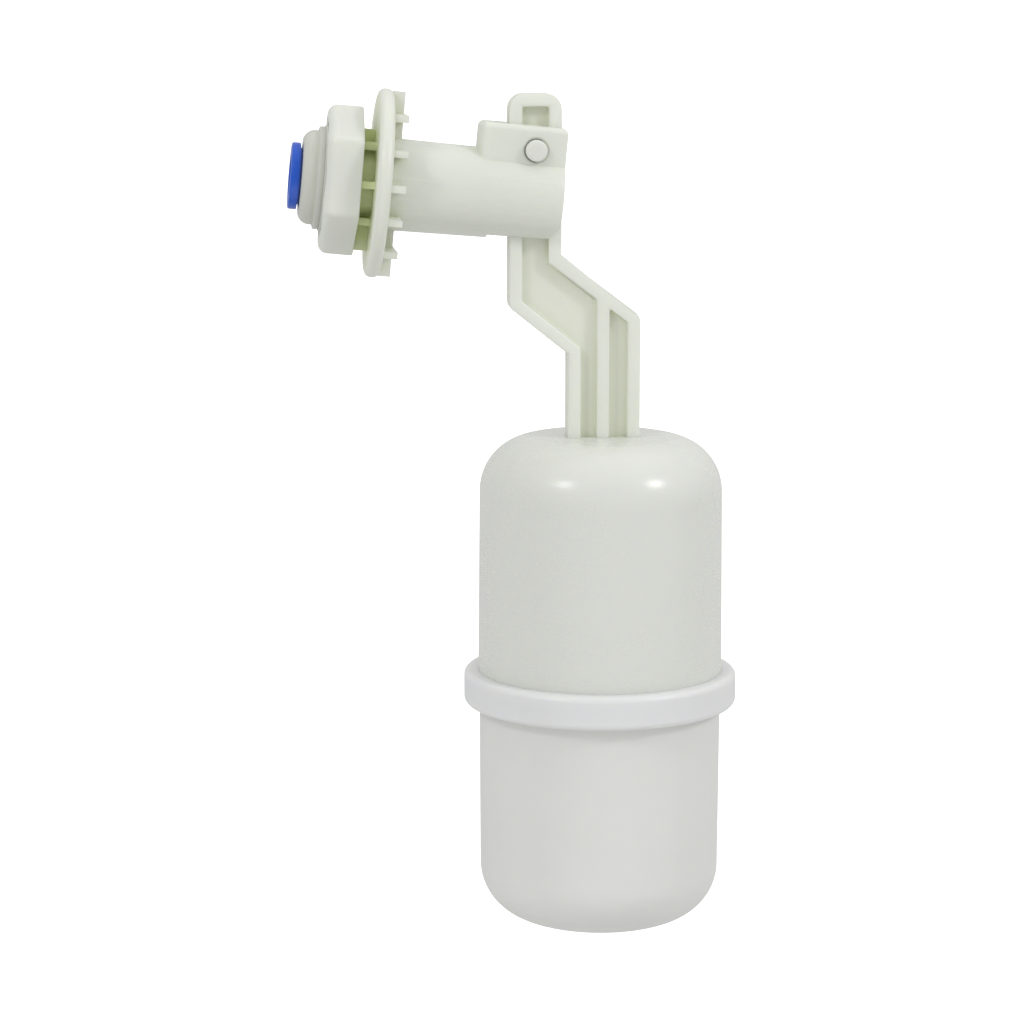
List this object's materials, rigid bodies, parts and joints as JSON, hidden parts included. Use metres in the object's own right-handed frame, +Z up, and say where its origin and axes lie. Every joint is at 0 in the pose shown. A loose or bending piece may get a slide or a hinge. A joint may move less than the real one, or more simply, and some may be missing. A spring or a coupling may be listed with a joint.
{
  "type": "float valve",
  "caption": "Moulded plastic float valve: push-in tube inlet, threaded neck with flange and lock nut, and a zigzag arm that hangs a bottle-shaped float.",
  "frame": {"origin": "middle of the flange face that lies on the tank wall, on the inlet axis", "axes": "+X along the barrel from the tube inlet to the arm, +Z up from the barrel to the ears, float hanging towards -Z, +Y across the valve away from the side pictured"},
  "size_m": [0.081, 0.0452, 0.1367],
  "materials": {
    "valve_plastic": "satin",
    "cap_plastic": "satin",
    "retainer_plastic": "satin",
    "rubber": "matt",
    "pin_plastic": "satin",
    "nut_plastic": "satin",
    "collet_plastic": "satin",
    "spring_steel": "satin",
    "plunger_plastic": "satin",
    "arm_plastic": "satin",
    "upper_shell_plastic": "satin",
    "band_plastic": "satin",
    "lower_shell_plastic": "satin"
  },
  "bodies": {
    "valve": {"valve_body": "valve_plastic", "end_cap": "cap_plastic", "o_ring_retainer": "retainer_plastic", "tube_o_ring": "rubber", "pivot_pin": "pin_plastic"},
    "lock_nut": {"lock_nut": "nut_plastic"},
    "collet": {"collet": "collet_plastic", "collet_teeth": "spring_steel"},
    "plunger": {"plunger": "plunger_plastic", "plunger_seal": "rubber"},
    "float_arm": {"float_arm": "arm_plastic", "float_upper_shell": "upper_shell_plastic", "float_band": "band_plastic", "float_lower_shell": "lower_shell_plastic"}
  },
  "joints": [
    {"name": "float_swing", "type": "hinge", "parent": "valve", "child": "float_arm", "pos_m": [0.02565, 0, 0.0076], "axis": [0, -1, 0], "range_deg": [-10.3, 20.9]},
    {"name": "plunger_slide", "type": "slide", "parent": "valve", "child": "plunger", "axis": [1, 0, 0], "range_m": [-0.00136, 0.00276]},
    {"name": "nut_travel", "type": "slide", "parent": "valve", "child": "lock_nut", "axis": [-1, 0, 0], "range_m": [0, 0.0055]},
    {"name": "collet_press", "type": "slide", "parent": "valve", "child": "collet", "axis": [1, 0, 0], "range_m": [-0.0007, 0.0003]}
  ],
  "couplings": [
    {"joint": "plunger_slide", "follows": "float_swing", "m_per_rad": 0.0075}
  ]
}
